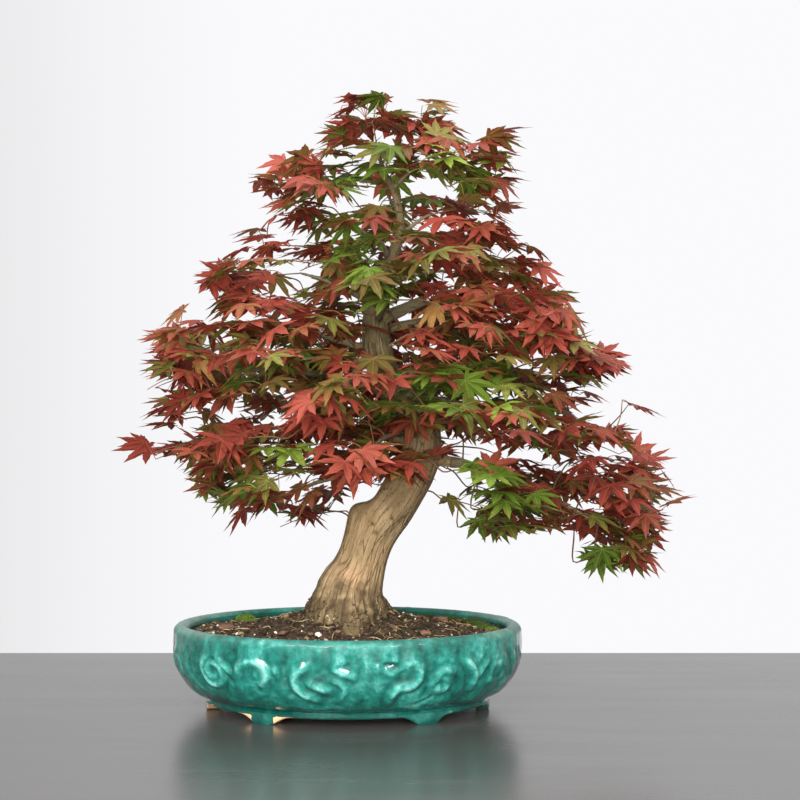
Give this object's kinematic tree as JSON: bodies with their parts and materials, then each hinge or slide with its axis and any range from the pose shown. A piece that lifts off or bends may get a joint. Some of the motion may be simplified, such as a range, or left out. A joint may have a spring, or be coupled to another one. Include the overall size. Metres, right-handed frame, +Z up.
{
  "type": "bonsai tree in a pot",
  "caption": "Japanese maple bonsai with a leaning trunk and layered leaf sprays, rooted in soil in an oval glazed pot on low feet.",
  "frame": {"origin": "middle of the whole plant's footprint, on the surface the pot's feet stand on", "axes": "+Z up, -Y towards the front of the pot and tree, +X to the right seen from the front, along the pot's length"},
  "size_m": [0.5085, 0.3645, 0.5333],
  "materials": {
    "glaze": "glossy turquoise glaze",
    "soil": "rough, granular",
    "maple_bark": "fine fissured bark",
    "maple_leaf": "satin leaf, red and green",
    "moss": "soft, matt",
    "bark_chip": "rough",
    "pale_grit": "matt",
    "screen_plastic": "matt",
    "fixing_wire": "satin"
  },
  "bodies": {
    "root": {"bark_chip_back": "bark_chip", "bark_chip_front": "bark_chip", "bark_chip_left": "bark_chip", "bark_chip_right": "bark_chip", "drainage_mesh_left": "screen_plastic", "drainage_mesh_right": "screen_plastic", "mesh_wire_left": "fixing_wire", "mesh_wire_right": "fixing_wire", "moss_back": "moss", "moss_left": "moss", "moss_right": "moss", "pot": "glaze", "soil": "soil", "spray_back_high": "maple_leaf", "spray_back_left": "maple_leaf", "spray_back_low": "maple_leaf", "spray_back_mid": "maple_leaf", "spray_back_right": "maple_leaf", "spray_back_top": "maple_leaf", "spray_crown": "maple_leaf", "spray_crown_left": "maple_leaf", "spray_crown_right": "maple_leaf", "spray_front_high": "maple_leaf", "spray_front_left": "maple_leaf", "spray_front_left_side_1": "maple_leaf", "spray_front_low": "maple_leaf", "spray_front_mid": "maple_leaf", "spray_front_right": "maple_leaf", "spray_front_right_side_1": "maple_leaf", "spray_left_high": "maple_leaf", "spray_left_long": "maple_leaf", "spray_left_long_side_1": "maple_leaf", "spray_left_long_side_2": "maple_leaf", "spray_left_mid": "maple_leaf", "spray_left_mid_side_1": "maple_leaf", "spray_left_top": "maple_leaf", "spray_left_wide": "maple_leaf", "spray_left_wide_side_1": "maple_leaf", "spray_left_wide_side_2": "maple_leaf", "spray_low_left": "maple_leaf", "spray_low_left_side_1": "maple_leaf", "spray_low_right": "maple_leaf", "spray_low_right_side_1": "maple_leaf", "spray_low_right_side_2": "maple_leaf", "spray_right_high": "maple_leaf", "spray_right_low": "maple_leaf", "spray_right_low_side_1": "maple_leaf", "spray_right_mid": "maple_leaf", "spray_right_mid_side_1": "maple_leaf", "spray_right_top": "maple_leaf", "spray_right_wide": "maple_leaf", "spray_right_wide_side_1": "maple_leaf", "tree": "maple_bark", "white_pebble": "pale_grit"}
  },
  "joints": []
}
